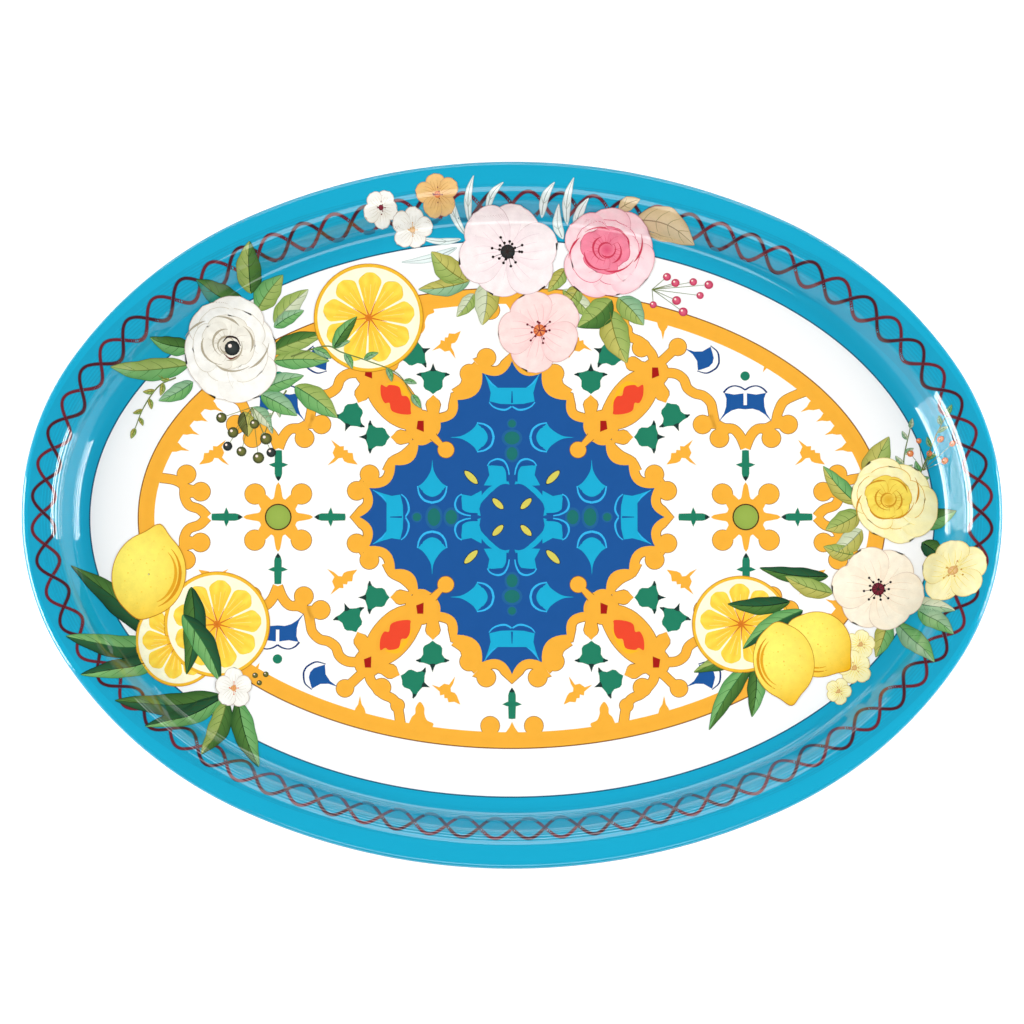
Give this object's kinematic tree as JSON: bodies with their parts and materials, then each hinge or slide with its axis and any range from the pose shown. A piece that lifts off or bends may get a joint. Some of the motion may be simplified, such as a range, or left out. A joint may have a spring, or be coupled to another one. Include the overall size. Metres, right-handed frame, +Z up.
{
  "type": "serving tray",
  "caption": "Oval pressed-steel serving tray with a rolled, wired edge, a turquoise rim with a printed chain, and a tiled medallion with lemon and flower sprays",
  "frame": {"origin": "centre of the flat underside", "axes": "+X along the length, +Y across the width, +Z up out of the well"},
  "size_m": [0.4568, 0.3318, 0.0202],
  "materials": {
    "lacquered_steel": "pressed tinplate, white-lacquered underside, satin gloss",
    "bright_wire": "drawn steel wire, bare",
    "turquoise_enamel": "high-gloss stoved enamel",
    "white_enamel": "high-gloss stoved enamel",
    "keyline_ink": "fine printed line under gloss varnish",
    "chain_ink": "maroon ink under gloss varnish",
    "gold_ink": "warm yellow-gold ink under gloss varnish",
    "olive_ink": "olive ink under gloss varnish",
    "blue_ink": "cobalt blue ink under gloss varnish",
    "light_blue_ink": "light blue ink under gloss varnish",
    "yellow_ink": "yellow ink under gloss varnish",
    "green_ink": "bottle green ink under gloss varnish",
    "red_ink": "red ink under gloss varnish",
    "rose_print": "watercolour print of pink and blush roses under gloss varnish",
    "white_rose_print": "watercolour print of a white rose, leaves and a lemon slice under gloss varnish",
    "lemon_print": "watercolour print of lemons and dark leaves under gloss varnish",
    "bouquet_print": "watercolour print of yellow roses, blossoms and lemons under gloss varnish"
  },
  "bodies": {
    "root": {"pan": "lacquered_steel", "rim_wire": "bright_wire", "rim_enamel": "turquoise_enamel", "field_enamel": "white_enamel", "field_keyline": "keyline_ink", "chain_strand_one": "chain_ink", "chain_strand_two": "chain_ink", "medallion_ring": "gold_ink", "gold_lattice": "gold_ink", "rosettes": "gold_ink", "rosette_eyes": "olive_ink", "star_ground": "blue_ink", "star_drapery": "light_blue_ink", "leaf_seeds": "yellow_ink", "green_florets": "green_ink", "red_lozenges": "red_ink", "blue_drapery": "blue_ink", "rose_spray": "rose_print", "white_rose_spray": "white_rose_print", "lemon_spray": "lemon_print", "yellow_bouquet": "bouquet_print"}
  },
  "joints": []
}
